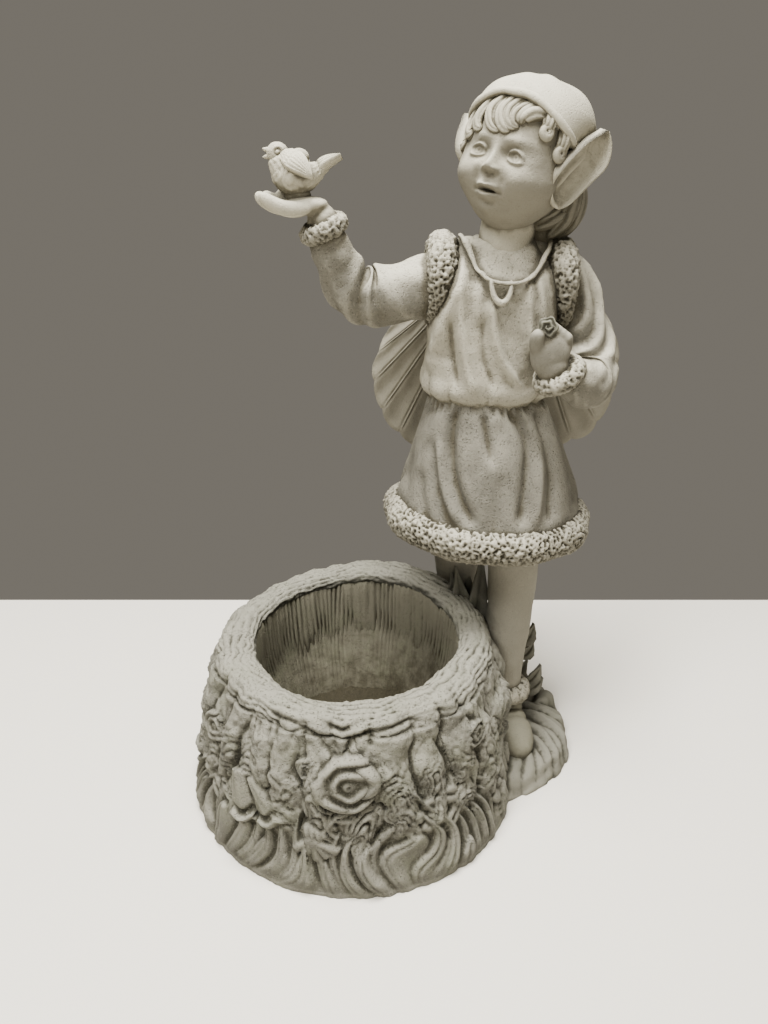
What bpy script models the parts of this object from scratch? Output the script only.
"""Garden statue cast in one piece: a pixie child beside a hollow tree stump that serves as a planter.

Sizes are in metres, +Z is up and the front faces -Y. The origin is on the ground under the middle of the
statue. The figure's pose and carving are given in thousandths of its own height, measured from the point
between its feet.
"""

from math import cos, pi, radians, sin, tau

import bmesh
import bpy
import numpy as np

# Driving sizes of the stump, its bowl and the base
STUMP_HEIGHT = 0.155
BOWL_MOUTH_RADIUS = 0.097
BOWL_TAPER = 0.012
BOWL_FLOOR_THICKNESS = 0.027
RIM_WIDTH = 0.031
RIM_RISE = 0.012
ROOT_SPREAD = 0.037
BARK_DEPTH = 0.013
MOUND_RADIUS = 0.096
MOUND_HEIGHT = 0.026
STANCE_GAP = 0.010

# Driving sizes of the figure
FIGURE_HEIGHT = 0.594
WING_THICKNESS = 0.0065
BIRD_LENGTH = 0.0594

# Places on the ground
STUMP_CENTRE = np.array([-0.027, -0.010, 0.0])
STANCE_BEARING = radians(23.5)

# Carving on the stump: bearing in degrees, share of the stump's height, radius
ROSES = (
    (-90, 0.64, 0.033),
    (-40, 0.68, 0.017),
    (-41, 0.36, 0.014),
    (-62, 0.40, 0.012),
    (-124, 0.36, 0.014),
)
BARK_LUMPS = 15
STUMP_BLADES = 40
MOUND_BLADES = 22
BLADE_RADIUS = 0.0060

# Fineness of the solid
VOXEL = 0.0021
PLAIN_TRIANGLES = 6200
FINE_TRIANGLES = 3400
BURY = 0.012

RIM_RADIUS = BOWL_MOUTH_RADIUS + RIM_WIDTH
STANCE_WAY = np.array([cos(STANCE_BEARING), sin(STANCE_BEARING), 0.0])
STANCE = STUMP_CENTRE + (RIM_RADIUS + STANCE_GAP) * STANCE_WAY
STANCE[2] = MOUND_HEIGHT
SHARE = FIGURE_HEIGHT / 1000

shells = []


def spot(*shares):
    """Place on the figure, from shares of its height in thousandths, measured from between its feet."""
    return STANCE + SHARE * np.array(shares, dtype=float)


def spots(*rows):
    return np.array([spot(*row) for row in rows])


def unit(vectors):
    return vectors / np.linalg.norm(vectors, axis=-1, keepdims=True)


def ease(x, start, end):
    """0 before start, 1 after end, and a smooth S between them."""
    t = np.clip((x - start) / (end - start), 0, 1)
    return t * t * (3 - 2 * t)


def hill(x, centre, width):
    """Bell curve of height 1."""
    return np.exp(-(((x - centre) / width) ** 2))


def spline(points, count):
    """Smooth curve through the points, a cubic between each two, at evenly spaced parameters."""
    points = np.asarray(points, dtype=float)
    ends = np.vstack([2 * points[0] - points[1], points, 2 * points[-1] - points[-2]])
    u = np.linspace(0, len(points) - 1, count)
    i = np.minimum(u.astype(int), len(points) - 2)
    t = (u - i)[:, None]
    a, b, c, d = ends[i], ends[i + 1], ends[i + 2], ends[i + 3]
    return b + 0.5 * t * (c - a + t * (2 * a - 5 * b + 4 * c - d + t * (3 * (b - c) + d - a)))


def quads(rows, around, join_rows):
    """Corner numbers of the squares between neighbouring rows of a grid that closes round each row."""
    i, j = np.meshgrid(np.arange(rows if join_rows else rows - 1), np.arange(around), indexing="ij")
    below, beside = (i + 1) % rows, (j + 1) % around
    corners = (i * around + j, i * around + beside, below * around + beside, below * around + j)
    return np.stack(corners, axis=-1).reshape(-1, 4).tolist()


def add_shell(points, faces):
    shells.append((np.asarray(points), faces))


def add_stack(rings):
    """Closed skin over a stack of rings, with a point in the middle of the first and the last."""
    rows, around = rings.shape[:2]
    points = np.vstack([rings.reshape(-1, 3), rings[0].mean(axis=0), rings[-1].mean(axis=0)])
    faces = quads(rows, around, join_rows=False)
    last = (rows - 1) * around
    for j in range(around):
        k = (j + 1) % around
        faces.append([rows * around, k, j])
        faces.append([rows * around + 1, last + j, last + k])
    add_shell(points, faces)


def add_loop(rings):
    """Closed skin over rings that follow one another back to the first, like a doughnut."""
    add_shell(rings.reshape(-1, 3), quads(*rings.shape[:2], join_rows=True))


def add_sheet(front, back):
    """Closed skin over two matching grids that lie a thickness apart."""
    add_stack(np.concatenate([front, back[:, ::-1]], axis=1))


def swept(centres, radii, side, around, flatten=1.0, closed=False):
    """Rings along a path: centre + radius * (across * cos v + over * flatten * sin v)."""
    if closed:
        ahead = unit(np.roll(centres, -1, axis=0) - np.roll(centres, 1, axis=0))
    else:
        ahead = unit(np.gradient(centres, axis=0))
    side = np.broadcast_to(np.asarray(side, dtype=float), centres.shape)
    across = unit(side - ahead * np.sum(side * ahead, axis=1, keepdims=True))
    over = np.cross(ahead, across)
    v = np.arange(around) / around * tau
    radii = np.broadcast_to(np.asarray(radii, dtype=float), (around, len(centres))).T[:, :, None]
    round_ = across[:, None] * np.cos(v)[None, :, None] + over[:, None] * flatten * np.sin(v)[None, :, None]
    return centres[:, None] + radii * round_


def limb(points, radii, side=(0, 1, 0), rows=18, around=12, flatten=1.0):
    """Round-ended tube along a smooth path; the radii are in thousandths of the figure's height."""
    centres = spline(points, rows)
    thickness = spline(np.array(radii, dtype=float)[:, None], rows)[:, 0] * SHARE
    thickness = thickness * (1 - np.abs(np.linspace(-1, 1, rows)) ** 14) ** 0.5
    thickness = np.maximum(thickness, 0.15 * thickness.max())
    add_stack(swept(centres, thickness, side, around, flatten))


def ball_grid(rows, around):
    """Directions all over a ball: (sin p cos q, sin p sin q, cos p), without its two poles."""
    p = (np.arange(rows) + 0.5) / rows * pi
    q = np.arange(around) / around * tau
    p, q = np.meshgrid(p, q, indexing="ij")
    return np.stack([np.sin(p) * np.cos(q), np.sin(p) * np.sin(q), np.cos(p)], axis=-1)


def blob(centre, radii, axes=np.eye(3), rows=9, around=12):
    """Ellipsoid of three radii along its own three axes."""
    add_stack(centre + (ball_grid(rows, around) * radii) @ np.asarray(axes))


def fur_roll(path, radii, outward, around=10):
    """Doughnut of knotted fur along a closed path; its thickness swells and sinks in a lattice."""
    turns = np.linspace(0, tau, len(path), endpoint=False)
    v = np.linspace(0, tau, around, endpoint=False)
    knots = 1 + 0.10 * np.sin(turns[None, :] * (len(path) // 4) + 2 * np.sin(3 * v[:, None]))
    add_loop(swept(path, np.asarray(radii) * knots, outward, around, closed=True))


def hoop(centre, axis, radius, start=(1, 0, 0), count=28, stretch=1.0):
    """Points of an ellipse round an axis, and the directions that point away from its middle."""
    axis = unit(np.asarray(axis, dtype=float))
    first = unit(np.asarray(start, dtype=float) - axis * np.dot(start, axis))
    second = np.cross(axis, first)
    turns = np.linspace(0, tau, count, endpoint=False)[:, None]
    out = first * np.cos(turns) + second * stretch * np.sin(turns)
    return centre + radius * out, out


def stump_radius(bearing, height):
    """Outside of the stump: the rim's radius, spread towards the roots, with knobbly bark in between."""
    share = np.clip(height / STUMP_HEIGHT, 0, 1)
    spread = ROOT_SPREAD * (1 - share) ** 1.2 * (0.80 - 0.22 * np.sin(bearing))
    lumps = np.abs(np.sin(bearing * BARK_LUMPS / 2 + 0.8 * np.sin(3 * bearing) + 1.5 * share)) ** 0.7
    steps = 0.8 + 0.2 * np.sin(9 * share + 5 * np.sin(4 * bearing))
    return RIM_RADIUS + spread + BARK_DEPTH * (lumps * steps - 0.4) * hill(share, 0.62, 0.30)


def on_stump(bearing, height, proud=0.0):
    """Place on the bark at a bearing and height, standing proud of it by some length."""
    radius = stump_radius(bearing, height) + proud
    flat = np.stack([np.cos(bearing), np.sin(bearing), 0 * bearing], axis=-1)
    rise = np.array([0, 0, 1]) * np.asarray(height)[..., None]
    return STUMP_CENTRE + flat * np.asarray(radius)[..., None] + rise


def add_stump():
    """Hollow stump: one profile from under the foot, over the rim and down to the bowl's floor."""
    bearing = np.arange(120) / 120 * tau
    outer = [-BURY, 0.0, *(STUMP_HEIGHT * np.array([0.1, 0.22, 0.34, 0.46, 0.58, 0.70, 0.82, 0.92]))]
    rings = [on_stump(bearing, np.full(120, height)) for height in outer]
    floor_radius = BOWL_MOUTH_RADIUS - BOWL_TAPER
    floor = BOWL_FLOOR_THICKNESS
    depth = STUMP_HEIGHT - floor
    inner = (
        (BOWL_MOUTH_RADIUS + 0.80 * RIM_WIDTH, STUMP_HEIGHT * 0.985),
        (BOWL_MOUTH_RADIUS + 0.45 * RIM_WIDTH, STUMP_HEIGHT),
        (BOWL_MOUTH_RADIUS + 0.12 * RIM_WIDTH, STUMP_HEIGHT * 0.985),
        (BOWL_MOUTH_RADIUS, STUMP_HEIGHT * 0.95),
        (BOWL_MOUTH_RADIUS - 0.35 * BOWL_TAPER, floor + 0.60 * depth),
        (BOWL_MOUTH_RADIUS - 0.75 * BOWL_TAPER, floor + 0.22 * depth),
        (floor_radius - 0.04 * floor_radius, floor + 0.04 * depth),
        (floor_radius * 0.88, floor),
        (floor_radius * 0.40, floor),
    )
    for radius, height in inner:
        wave = 1 + 0.018 * np.sin(3 * bearing + 0.7) * ease(height, floor, STUMP_HEIGHT)
        lifted = ease(height, 0.5 * STUMP_HEIGHT, STUMP_HEIGHT)
        rise = RIM_RISE * hill(bearing, radians(66), radians(42)) * lifted
        reach = radius * wave
        flat = np.stack([np.cos(bearing) * reach, np.sin(bearing) * reach, height + rise], axis=-1)
        rings.append(STUMP_CENTRE + flat)
    add_stack(np.array(rings))


def mound_radius(bearing):
    """Edge of the mound, which runs out further to the front right."""
    away = (bearing - radians(-50) + pi) % tau - pi
    return MOUND_RADIUS * (1 + 0.18 * hill(away, 0, 0.55))


def add_mound():
    """Low grassy mound round the figure's feet, as a flat dome."""
    bearing = np.arange(72) / 72 * tau
    profile = ((0.985, -BURY), (1.0, 0.0), (0.97, 0.25), (0.86, 0.62), (0.68, 0.88), (0.40, 1.0))
    rings = []
    for reach, rise in profile:
        radius = mound_radius(bearing) * reach
        height = rise if rise < 0 else rise * MOUND_HEIGHT
        flat = np.stack([np.cos(bearing) * radius, np.sin(bearing) * radius, 0 * bearing + height], axis=-1)
        rings.append(flat + STANCE * (1, 1, 0))
    add_stack(np.array(rings))


def add_blade(path, radius, middle):
    """One blade of grass: a tapered tube that lies against the foot and bends away from its middle."""
    centres = spline(path, 9)
    taper = np.array([0.35, 0.7, 0.95, 1.0, 1.0, 0.95, 0.85, 0.7, 0.4]) * radius
    add_stack(swept(centres, taper, centres - middle, 6))


def add_grass():
    """Blades that sweep down the foot of the stump and off the mound, bent to either side."""
    for n in range(STUMP_BLADES):
        bearing = tau * n / STUMP_BLADES
        bend = 0.16 * sin(n * 2.4) + 0.05 * sin(n * 5.1)
        top = STUMP_HEIGHT * (0.40 + 0.07 * sin(n * 1.7))
        turns = np.array([bearing - 0.3 * bend, bearing, bearing + 0.7 * bend, bearing + 1.3 * bend])
        heights = np.array([top, 0.62 * top, 0.30 * top, 0.0])
        path = on_stump(turns, heights, 0.001)
        add_blade(path, BLADE_RADIUS, STUMP_CENTRE)
    for n in range(MOUND_BLADES):
        bearing = radians(-75) + radians(240) * n / (MOUND_BLADES - 1)
        bend = 0.22 * sin(n * 2.1)
        turns = np.array([bearing, bearing + 0.4 * bend, bearing + 0.8 * bend, bearing + bend])
        reach = mound_radius(bearing) * np.array([0.55, 0.78, 0.94, 0.99])
        heights = MOUND_HEIGHT * np.array([0.98, 0.86, 0.45, 0.0])
        path = np.stack([np.cos(turns) * reach, np.sin(turns) * reach, heights], axis=-1)
        add_blade(path + STANCE * (1, 1, 0), BLADE_RADIUS, STANCE - (0, 0, MOUND_RADIUS))


def add_rose(bearing, height, radius):
    """Rose head: a dome whose petals wind round it in a spiral ridge."""
    seat = on_stump(np.array(bearing), np.array(height), -0.2 * radius)
    out = unit(np.array([cos(bearing), sin(bearing), 0.35]))
    across = unit(np.cross([0.0, 0.0, 1.0], out))
    over = np.cross(out, across)
    reach = np.linspace(1.0, 0.1, 9)
    turn = np.arange(20) / 20 * tau
    reach, turn = np.meshgrid(reach, turn, indexing="ij")
    petals = 0.17 * np.sin(tau * 2.4 * reach - turn) + 0.06 * np.cos(5 * turn) * reach
    rise = radius * (0.62 * np.sqrt(1.02 - reach**2) + petals * (1 - reach**4))
    wide = radius * reach * (1 + 0.06 * np.cos(5 * turn + 2.0))
    dome = seat + wide[..., None] * (np.cos(turn)[..., None] * across + np.sin(turn)[..., None] * over)
    dome = dome + rise[..., None] * out
    sunk = seat - 0.25 * radius * out + (dome[:1] - seat) * 0.8
    add_stack(np.concatenate([sunk, dome]))


def add_leaf(root, tip, width, over, thickness):
    """Pointed leaf, widest near its middle and creased along its spine."""
    along = np.linspace(0, 1, 8)[:, None, None]
    across = np.linspace(-1, 1, 5)[None, :, None]
    ahead = tip - root
    over = unit(over - ahead * np.dot(over, ahead) / np.dot(ahead, ahead))
    side = unit(np.cross(ahead, over))
    half = width / 2 * np.sin(pi * np.clip(along, 0.04, 0.985) ** 0.8)
    arch = 0.15 * np.linalg.norm(ahead) * np.sin(pi * along) + 0.25 * half * np.abs(across)
    front = root + along * ahead + across * half * side + (arch + thickness / 2) * over
    add_sheet(front, front - thickness * over)


def add_leaves():
    """Leaves between the roses and on the mound, and a spray of bigger ones between the legs."""
    small = (
        (-50, 0.62, 0.020, 1.0),
        (-72, 0.50, 0.020, -0.8),
        (-112, 0.55, 0.022, 0.9),
        (-135, 0.45, 0.020, -1.0),
        (-30, 0.40, 0.020, 0.4),
        (-15, 0.30, 0.022, 0.9),
        (-100, 0.32, 0.018, -1.6),
        (-80, 0.33, 0.018, 1.6),
    )
    for bearing, height, length, lean in small:
        bearing = radians(bearing)
        root = on_stump(np.array(bearing), np.array(height * STUMP_HEIGHT), -0.001)
        out = np.array([cos(bearing), sin(bearing), 0.0])
        aside = np.array([-sin(bearing), cos(bearing), 0.0])
        tip = root + length * (0.4 * out + lean * aside - 0.5 * np.array([0, 0, 1]))
        add_leaf(root, tip, 0.6 * length, out + np.array([0, 0, 0.6]), 0.004)
    spray = (
        (0.62, 0.02, 0.030, 0.030),
        (0.35, 0.30, 0.085, 0.032),
        (0.05, 0.40, 0.100, 0.030),
        (-0.55, 0.30, 0.095, 0.034),
        (-0.85, 0.15, 0.060, 0.034),
        (-0.32, -0.12, 0.150, 0.040),
        (-0.20, 0.10, 0.170, 0.036),
    )
    foot = STANCE * (1, 1, 0)
    for x, y, rise, width in spray:
        low = np.array([0.35 * x, 0.30 + 0.1 * y, 0]) * MOUND_RADIUS
        high = np.array([x, 0.35 + y, 0]) * MOUND_RADIUS
        root = foot + low + (0, 0, 0.6 * MOUND_HEIGHT)
        tip = foot + high + (0, 0, MOUND_HEIGHT + rise)
        add_leaf(root, tip, width, np.array([0.2 * x, -1.0, 0.3]), 0.006)
    for x, low, reach, high in ((84, 100, 26, 80), (86, 74, 28, 58), (92, 22, 30, 44)):
        add_leaf(spot(x, 6, low), spot(x + reach, 26, low + high), 0.016, np.array([0.3, -1.0, 0.3]), 0.006)
    for x, tip_z, width in ((8, 300, 0.030), (-10, 345, 0.034), (4, 375, 0.026)):
        add_leaf(spot(x, 34, 30), spot(x - 4, 26, tip_z), width, np.array([0.1, -1.0, 0.2]), 0.009)


def add_legs():
    """Two bare legs from under the tunic; the near one stands clear, the other behind the stump."""
    near = spots((36, 0, 400), (42, -20, 310), (46, -24, 235), (46, -28, 165), (51, -36, 95), (56, -40, 45))
    limb(near, (46, 41, 38, 36, 29, 24), side=(1, 0, 0))
    far = spots((-45, 30, 400), (-42, 62, 300), (-34, 78, 220), (-28, 84, 140), (-26, 84, 60), (-26, 80, 20))
    limb(far, (46, 41, 38, 35, 28, 24), side=(1, 0, 0))
    for x, y, toe_x, toe_y in ((60, -40, 4, -62), (-26, 80, -14, -58)):
        sole = spots((x, y + 10, 16), (x + 0.5 * toe_x, y + 0.45 * toe_y, 20), (x + toe_x, y + toe_y, 14))
        limb(sole, (21, 25, 22), side=(1, 0, 0), rows=12, flatten=0.85)
        path, out = hoop(spot(x - 1, y, 58), (0.05, -0.1, 1), 26 * SHARE, count=24)
        fur_roll(path, 11 * SHARE, out)


def add_wings():
    """Two fans of ribs on the back: rays from a root, as long as their scallops, thick at each rib."""
    fans = (((-34, 62, 640), 168, 246, (150, 200)), ((30, 62, 640), 22, -62, (172, 214)))
    for root, first, last, reach in fans:
        s = np.linspace(0, 1, 46)[:, None, None]
        t = np.linspace(0.05, 1, 12)[None, :, None]
        ray = np.radians(first + (last - first) * s)
        scallops = 0.93 + 0.07 * np.abs(np.sin(s * 5.5 * pi))
        length = (reach[0] + (reach[1] - reach[0]) * s) * scallops * (1 - 0.25 * hill(s, 0, 0.16))
        sweep = 34 * t + 22 * t**2 + 0 * s
        flat = np.concatenate([np.cos(ray) * length * t, sweep, np.sin(ray) * length * t], axis=-1)
        front = spot(*root) + SHARE * flat
        rib = WING_THICKNESS / 2 * (0.75 + 0.45 * np.abs(np.cos(s * 5.5 * pi)) ** 3)
        away = np.array([0, -1.0, 0.25]) * rib
        add_sheet(front + away, front - away)
        x, _, z = root
        stem = spots((x * 0.6, 40, z), (x, 62, z), (x * 1.5, 76, z - 14))
        limb(stem, (24, 17, 10), rows=8, around=8, side=(0, 0, 1))


def oval(wide, deep, turn):
    """Level ring of two radii, in thousandths of the figure's height, at turns round its middle."""
    return SHARE * np.stack([wide * np.cos(turn), deep * np.sin(turn), 0 * turn], axis=-1)


def add_bodice():
    """Gathered bodice over the chest, blousing over the cord at the waist."""
    turn = np.arange(72) / 72 * tau
    outline = (
        (-16, 0, 560, 80, 60), (-15, 0, 576, 83, 63), (-14, 0, 590, 92, 70), (-14, 0, 606, 93, 72),
        (-13, 0, 640, 90, 70), (-12, 2, 680, 89, 68), (-10, 4, 720, 88, 66), (-8, 6, 748, 86, 62),
        (-6, 9, 768, 80, 53), (-4, 11, 786, 64, 43), (0, 12, 802, 42, 34),
    )
    rings = []
    for x, y, z, wide, deep in outline:
        gathers = np.sin(12 * turn + 0.012 * (z - 600) + 1.2 * np.sin(2 * turn))
        folds = 1 + 0.075 * gathers * (1 - ease(z, 730, 800))
        rings.append(spot(x, y, z) + oval(wide * folds, deep * folds, turn))
    add_stack(np.array(rings))
    path, out = hoop(spot(-16, 0, 572), (0, 0, 1), 86 * SHARE, count=40, stretch=0.75)
    add_loop(swept(path, 6 * SHARE, out, 8, closed=True))
    front = ((-57, -18, 798), (-50, -36, 774), (-34, -50, 757), (-12, -58, 750), (10, -59, 750), (32, -52, 756))
    back = ((50, -36, 772), (60, -10, 792), (52, 34, 800), (0, 52, 806), (-50, 36, 804), (-60, 6, 802))
    collar = spline(spots(*front, *back, front[0]), 61)[:-1]
    add_loop(swept(collar, 5.5 * SHARE, (0, 0, 1), 8, closed=True))


def add_skirt():
    """Skirt flaring in soft deep folds from the waist to a thick fur hem, hollow a little way up inside."""
    turn = np.arange(96) / 96 * tau
    outline = (
        (-16, 0, 585, 80, 60, 0.0), (-16, 0, 572, 84, 64, 0.03), (-14, 0, 556, 93, 70, 0.05),
        (-9, 1, 515, 108, 84, 0.075), (-4, 1, 465, 125, 99, 0.085), (-2, 2, 420, 138, 110, 0.08),
        (-3, 2, 388, 142, 114, 0.06), (-3, 2, 366, 132, 104, 0.03), (-3, 2, 380, 100, 76, 0.0),
        (-3, 2, 400, 50, 36, 0.0),
    )
    rings = []
    for x, y, z, wide, deep, depth in outline:
        folds = 1 + depth * np.sin(10 * turn + 0.9 * np.sin(2 * turn + 0.6) + 0.6)
        rings.append(spot(x, y, z) + oval(wide * folds, deep * folds, turn))
    add_stack(np.array(rings))
    turn = np.arange(64) / 64 * tau
    folds = 1 + 0.02 * np.sin(9 * turn + 0.6)
    droop = np.stack([0 * turn, 0 * turn, -8 * SHARE * np.cos(turn)], axis=-1)
    path = spot(-3, 2, 382) + oval(139 * folds, 112 * folds, turn) + droop
    fur_roll(path, 25 * SHARE, path - spot(-3, 2, 382), around=12)


def add_arms():
    """Sleeved arms: one raised to hold the bird, one bent with its hand before the chest."""
    shoulder = ((-66, 8, 742), (-105, 6, 735), (-146, 0, 728), (-188, -8, 724))
    forearm = ((-213, -17, 738), (-228, -27, 768), (-240, -34, 795), (-247, -40, 818))
    limb(spots(*shoulder, *forearm), (44, 44, 42, 41, 36, 30, 27, 24), rows=28, around=14)
    shoulder = ((70, 12, 752), (94, 15, 742), (114, 10, 705), (128, -2, 662))
    forearm = ((132, -20, 626), (122, -46, 610), (100, -76, 620), (80, -92, 634))
    limb(spots(*shoulder, *forearm), (36, 37, 34, 33, 35, 34, 28, 23), rows=28, around=14)
    cuffs = (((-248, -41, 820), (-0.25, -0.15, 1.0), 24), ((74, -94, 637), (-0.45, -0.2, 0.85), 27))
    for centre, axis, radius in cuffs:
        path, out = hoop(spot(*centre), axis, radius * SHARE, count=24)
        fur_roll(path, 12 * SHARE, out)
    for x, tilt in ((-92, -0.12), (74, 0.10)):
        path, out = hoop(spot(x, 8, 746), (1, 0, tilt), 52 * SHARE, start=(0, -1, 0), count=32)
        swell = 12 + 9 * ease(path[:, 2], spot(0, 0, 715)[2], spot(0, 0, 790)[2])
        fur_roll(path, swell * SHARE, out)


def add_hands():
    """Open hand with its palm up under the bird, and a cupped hand that holds a small flower."""
    blob(spot(-274, -46, 840), SHARE * np.array([30, 23, 10]), turned_axes(0, 8))
    limb(spots((-246, -40, 822), (-262, -43, 836)), (18, 16), rows=8, around=10)
    for n in range(4):
        y = -64 + 13 * n
        finger = spots((-290, y, 842), (-312, y - 3, 843), (-328 + 2 * n, y - 5, 856))
        limb(finger, (9.5, 8.5, 7), rows=9, around=8)
    limb(spots((-262, -26, 844), (-284, -22, 856), (-300, -24, 864)), (10, 9, 8), rows=9, around=8)
    blob(spot(56, -101, 664), SHARE * np.array([26, 15, 36]))
    limb(spots((40, -102, 668), (35, -106, 690), (36, -108, 706)), (12, 11, 9), rows=9, around=8)
    for n in range(3):
        x = 5 * n
        finger = spots((62 + x, -98, 672 + x), (68 + x, -102, 698), (63 + x, -112, 694 - x))
        limb(finger, (10, 9, 8), rows=9, around=8, side=(0, 0, 1))
    blob(spot(54, -111, 711), SHARE * np.array([18, 11, 14]))


def turned_axes(turn, pitch, roll=0.0):
    """Three axes of a thing turned, pitched and rolled by angles in degrees: ahead, its own left, up."""
    turn, pitch, roll = radians(turn), radians(pitch), radians(roll)
    ahead = np.array([-cos(turn) * cos(pitch), -sin(turn) * cos(pitch), sin(pitch)])
    side = unit(np.cross([0.0, 0.0, 1.0], ahead))
    up = np.cross(ahead, side)
    return np.array([ahead, cos(roll) * side - sin(roll) * up, cos(roll) * up + sin(roll) * side])


def add_bird(centre, turn, size):
    """Small bird: plump body, round head, open beak, one wing drooping, the other lifted, tail up."""
    axes = turned_axes(turn, 0)

    def at(*shares):
        return centre + size * np.array(shares) @ axes

    spine = ((0.21, 0.30), (0.14, 0.13), (0.0, -0.02), (-0.22, -0.02), (-0.40, 0.12), (-0.58, 0.27))
    path = np.array([at(ahead, 0, up) for ahead, up in spine])
    thick = size / SHARE * np.array([0.12, 0.21, 0.26, 0.20, 0.11, 0.06])
    limb(path, thick, side=axes[1], rows=16, around=12)
    blob(at(0.19, 0, 0.34), size * np.array([0.14, 0.12, 0.13]), axes)
    for rise in (0.28, 0.40):
        beak = np.array([at(0.27, 0, 0.33), at(0.41, 0, rise)])
        limb(beak, size / SHARE * np.array([0.05, 0.03]), rows=5, around=6)
    wings = (
        ((0.15, 0.16, 0.24), (-0.26, 0.31, -0.06), 0.28, (0, 1, 0.6)),
        ((0.10, -0.10, 0.16), (-0.30, -0.22, 0.26), 0.24, (0, -0.4, 1)),
        ((-0.22, 0, 0.02), (-0.68, 0, 0.31), 0.22, (0.5, 0.5, 1)),
    )
    for root, tip, width, over in wings:
        add_leaf(at(*root), at(*tip), width * size, at(*over) - centre, 0.11 * size)
    blob(at(-0.05, -0.14, 0.28), size * np.array([0.13, 0.06, 0.11]), axes)


HEAD = spot(18, 3, 902)
HEAD_AXES = turned_axes(57, 12, 10)
HEAD_RADII = np.array([84, 74, 90])


def head_skin(rows, around):
    """Head as a ball narrowed towards the jaw, with brow, cheeks, nose, lips and chin raised on it."""
    return head_points(ball_grid(rows, around))


def head_points(way):
    """Points of the head's skin in its own axes, ahead, side and up, for directions from its middle."""
    ahead, side, up = np.moveaxis(way * HEAD_RADII, -1, 0)
    low = ease(-up, 15, 95)
    up = up * (1 + 0.06 * low)
    side = side * (1 - 0.08 * low)
    ahead = ahead * (1 - 0.06 * low) + 14 * low
    face = ease(way[..., 0], 0.15, 0.75)
    a, b = way[..., 1], way[..., 2]
    raised = 15 * hill(a, 0, 0.12) * hill(b, -0.36, 0.12) + 6 * hill(a, 0, 0.12) * hill(b, -0.18, 0.16)
    raised = raised + 8 * (hill(a, 0.48, 0.25) + hill(a, -0.48, 0.25)) * hill(b, -0.48, 0.26)
    raised = raised - 8 * (hill(a, 0.34, 0.16) + hill(a, -0.34, 0.16)) * hill(b, -0.09, 0.11)
    raised = raised + 13 * hill(a, 0, 0.17) * (hill(b, -0.555, 0.050) + hill(b, -0.695, 0.055))
    raised = raised + 9 * hill(a, 0, 0.22) * hill(b, -0.87, 0.08)
    return np.stack([ahead + face * raised, side, up], axis=-1)


def on_head(longitude, latitude, lift):
    """Place over the head, in degrees: longitude from the face to its left, latitude up from the ears."""
    lon, lat = np.radians(longitude), np.radians(latitude)
    way = np.stack([np.cos(lat) * np.cos(lon), np.cos(lat) * np.sin(lon), np.sin(lat)], axis=-1)
    local = head_points(way) + way * np.asarray(lift)[..., None]
    return HEAD + SHARE * local @ HEAD_AXES


def brim_latitude(longitude):
    """How high the cap's brim runs: on the forehead in front, over the ears, low on the nape."""
    half = np.abs((longitude + 180) % 360 - 180)
    return 35 - 23 * ease(half, 10, 84) - 50 * ease(half, 100, 180)


def add_head():
    """Head, eyes, neck and the smooth cap with its rolled brim."""
    add_stack(HEAD + SHARE * head_skin(30, 40) @ HEAD_AXES)
    for face in (-1, 1):
        eye = HEAD + SHARE * np.array([71, face * 25, -9]) @ HEAD_AXES
        blob(eye, SHARE * np.array([10, 12, 9]), HEAD_AXES, rows=7, around=10)
    neck = spots((-2, 14, 755), (2, 10, 800), (10, 6, 850), (16, 4, 880))
    limb(neck, (44, 38, 37, 34), side=(1, 0, 0), rows=12)
    longitude = np.arange(48) * 7.5
    edge = brim_latitude(longitude)
    rings = []
    for share in np.linspace(0.04, 1, 10):
        latitude = 90 - (90 - edge) * share
        lift = 9 + 5 * hill(share, 0.55, 0.4) * (1 - np.cos(np.radians(longitude))) / 2
        rings.append(on_head(longitude, latitude, lift))
    rings.append(on_head(longitude, edge, -12 + 0 * longitude))
    add_stack(np.array(rings))
    path = on_head(longitude, edge, 8 + 0 * longitude)
    add_loop(swept(path, 7 * SHARE, path - HEAD, 8, closed=True))


def add_ears():
    """Two long pointed ears, each a cupped leaf between a front edge and a back edge, from lobe to tip."""
    front = ((12, 66, -50), (34, 64, -32), (44, 69, -15), (34, 75, 8), (10, 80, 32), (-24, 87, 54))
    back = ((6, 68, -52), (-2, 78, -40), (-22, 87, -11), (-37, 95, 14), (-36, 94, 36), (-26, 88, 54))
    front_edge, back_edge = spline(front, 12), spline(back, 12)
    across = np.linspace(0, 1, 7)[None, :, None]
    out = unit(np.array([0.27, 0.95, -0.11]))
    hollow = 9 * np.sin(pi * across) * np.sin(pi * np.linspace(0.06, 0.94, 12))[:, None, None]
    sheet = front_edge[:, None] + across * (back_edge - front_edge)[:, None] - hollow * out
    for face in (-1, 1):
        flip = np.array([1, face, 1])
        front, back = (sheet + 4 * out) * flip, (sheet - 4 * out) * flip
        add_sheet(HEAD + SHARE * front @ HEAD_AXES, HEAD + SHARE * back @ HEAD_AXES)


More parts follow.
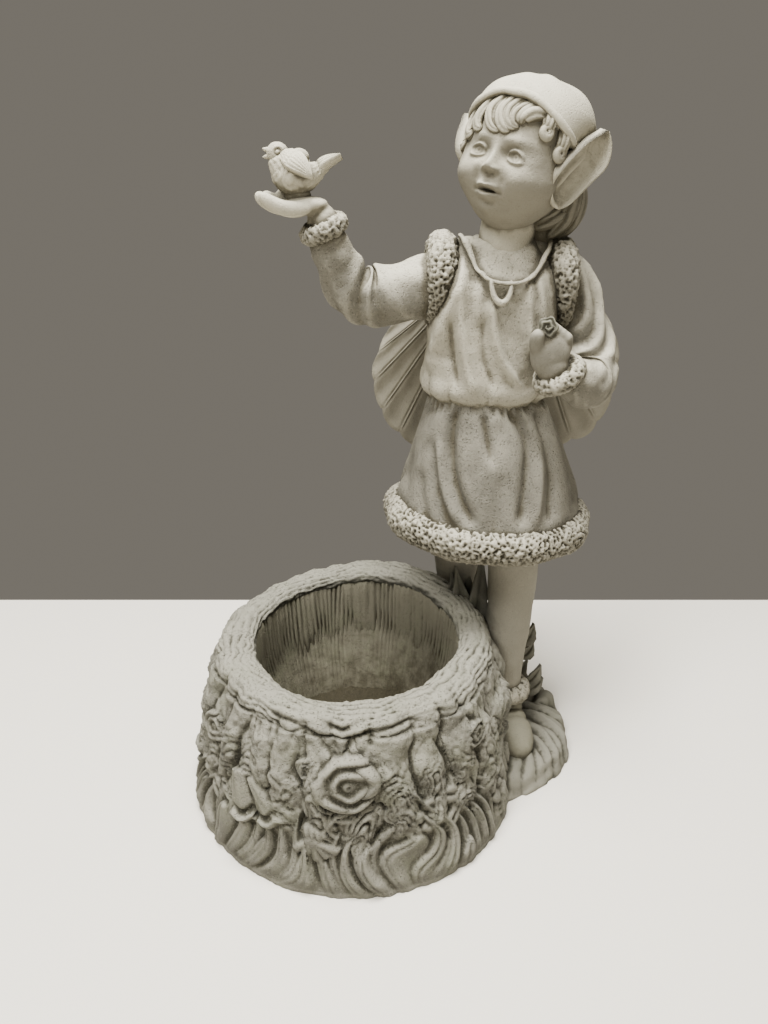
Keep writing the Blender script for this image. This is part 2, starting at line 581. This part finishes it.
def add_curls():
    """Comma-shaped locks under the brim, hanging curls at the temples and a mass of hair at the nape."""
    locks = (
        ((-10, 36), (-18, 22), (-12, 13), (-1, 8)),
        ((8, 38), (-3, 24), (-1, 15), (7, 9)),
        ((20, 36), (9, 26), (6, 17), (13, 12)),
        ((36, 28), (24, 29), (12, 24), (11, 17)),
        ((34, 25), (28, 19), (20, 15), (14, 13)),
        ((37, 30), (43, 20), (40, 11), (31, 13)),
        ((54, 24), (62, 12), (59, 1), (52, 5)),
        ((-24, 32), (-32, 20), (-32, 10), (-26, 6)),
        ((-44, 28), (-54, 16), (-52, 4), (-44, 4)),
        ((-62, 22), (-70, 8), (-66, -6), (-58, -4)),
        ((74, 18), (80, 4), (78, -10), (72, -8)),
    )
    for lock in locks:
        longitude, latitude = spline(lock, 6).T
        path = on_head(longitude, latitude, 4 + 4 * np.sin(pi * np.linspace(0, 1, 6)))
        limb(path, (5, 6.5, 6.5, 6.5, 5.5, 4.5), rows=11, around=8, side=path[2] - HEAD)
    for n in range(11):
        lon = 110 + 140 * n / 10
        path = on_head(np.array([lon, lon + 4, lon - 3]), np.array([-12, -34, -52]), np.array([2, 8, 8]))
        limb(path, (14, 16, 12), rows=8, around=8, side=path[1] - HEAD)
    for face in (-1, 1):
        nape = HEAD + SHARE * np.array([-44, 16 * face, -44]) @ HEAD_AXES
        blob(nape, SHARE * np.array([50, 54, 50]), HEAD_AXES)


def joined():
    """One mesh that holds every closed shell, each turned to face outwards."""
    whole = bmesh.new()
    for points, faces in shells:
        verts = [whole.verts.new(point) for point in points]
        made = [whole.faces.new([verts[i] for i in face]) for face in faces]
        bmesh.ops.recalc_face_normals(whole, faces=made)
    mesh = bpy.data.meshes.new("pixie_statue")
    whole.to_mesh(mesh)
    whole.free()
    return mesh


def evaluated(statue):
    """Mesh of the object with its modifiers applied."""
    graph = bpy.context.evaluated_depsgraph_get()
    return bpy.data.meshes.new_from_object(statue.evaluated_get(graph))


def cast_in_one(statue):
    """Fuse the overlapping shells into one skin, thin it out by its shape, and cut the foot off flat."""
    remesh = statue.modifiers.new("one skin", "REMESH")
    remesh.mode = "VOXEL"
    remesh.voxel_size = VOXEL
    statue.data = evaluated(statue)
    statue.modifiers.clear()
    drop_crumbs(statue.data)
    fine = finely_carved(corners(statue.data))
    thin_out(statue, np.flatnonzero(~fine), PLAIN_TRIANGLES + 2 * np.count_nonzero(fine))
    fine = finely_carved(corners(statue.data))
    thin_out(statue, np.flatnonzero(fine), PLAIN_TRIANGLES + FINE_TRIANGLES)
    cut = bmesh.new()
    cut.from_mesh(statue.data)
    geometry = cut.verts[:] + cut.edges[:] + cut.faces[:]
    down = (0, 0, -1)
    bmesh.ops.bisect_plane(cut, geom=geometry, dist=1e-6, plane_co=(0, 0, 0), plane_no=down, clear_outer=True)
    rim = [edge for edge in cut.edges if edge.is_boundary]
    bmesh.ops.contextual_create(cut, geom=rim)
    bmesh.ops.triangulate(cut, faces=cut.faces[:])
    bmesh.ops.recalc_face_normals(cut, faces=cut.faces[:])
    cut.to_mesh(statue.data)
    cut.free()


def corners(mesh):
    points = np.empty(3 * len(mesh.vertices))
    mesh.vertices.foreach_get("co", points)
    return points.reshape(-1, 3)


def finely_carved(points):
    """True for points of the face, the hands and the bird, where the carving is smallest."""
    near = np.zeros(len(points), dtype=bool)
    face = HEAD + 60 * SHARE * HEAD_AXES[0]
    for middle, reach in ((face, 90), (spot(-285, -45, 868), 75), (spot(58, -104, 685), 55)):
        near |= np.linalg.norm(points - middle, axis=1) < reach * SHARE
    return near


def thin_out(statue, chosen, triangles):
    """Collapse edges at the chosen points until the whole mesh has this many triangles."""
    group = statue.vertex_groups.new(name="thinned")
    group.add(chosen.tolist(), 1.0, "ADD")
    statue.data.calc_loop_triangles()
    decimate = statue.modifiers.new("fewer faces", "DECIMATE")
    decimate.ratio = triangles / len(statue.data.loop_triangles)
    decimate.vertex_group = group.name
    decimate.use_collapse_triangulate = True
    statue.data = evaluated(statue)
    statue.modifiers.clear()
    statue.vertex_groups.clear()


def drop_crumbs(mesh):
    """Delete any loose crumbs that the fusing left beside the one big body."""
    body = bmesh.new()
    body.from_mesh(mesh)
    left = set(body.verts)
    groups = []
    while left:
        group, edge = set(), [left.pop()]
        while edge:
            vert = edge.pop()
            group.add(vert)
            for link in vert.link_edges:
                other = link.other_vert(vert)
                if other in left:
                    left.discard(other)
                    edge.append(other)
        groups.append(group)
    groups.sort(key=len)
    crumbs = [vert for group in groups[:-1] for vert in group]
    bmesh.ops.delete(body, geom=crumbs, context="VERTS")
    body.to_mesh(mesh)
    body.free()


def stone():
    """Weathered pale cast stone."""
    material = bpy.data.materials.new("cast_stone")
    material.use_nodes = True
    shader = material.node_tree.nodes["Principled BSDF"]
    shader.inputs["Base Color"].default_value = (0.47, 0.45, 0.37, 1)
    shader.inputs["Roughness"].default_value = 0.9
    shader.inputs["Metallic"].default_value = 0.0
    return material


def build():
    for old in list(bpy.data.objects):
        bpy.data.objects.remove(old)
    add_stump()
    add_mound()
    add_grass()
    for bearing, share, radius in ROSES:
        add_rose(radians(bearing), share * STUMP_HEIGHT, radius)
    add_leaves()
    add_legs()
    add_skirt()
    add_bodice()
    add_wings()
    add_arms()
    add_hands()
    add_bird(spot(-281, -44, 874), 4, BIRD_LENGTH)
    add_head()
    add_ears()
    add_curls()
    statue = bpy.data.objects.new("pixie_statue", joined())
    bpy.context.scene.collection.objects.link(statue)
    cast_in_one(statue)
    statue.data.materials.append(stone())
    statue.data.shade_smooth()
    statue.data.set_sharp_from_angle(angle=radians(50))


build()
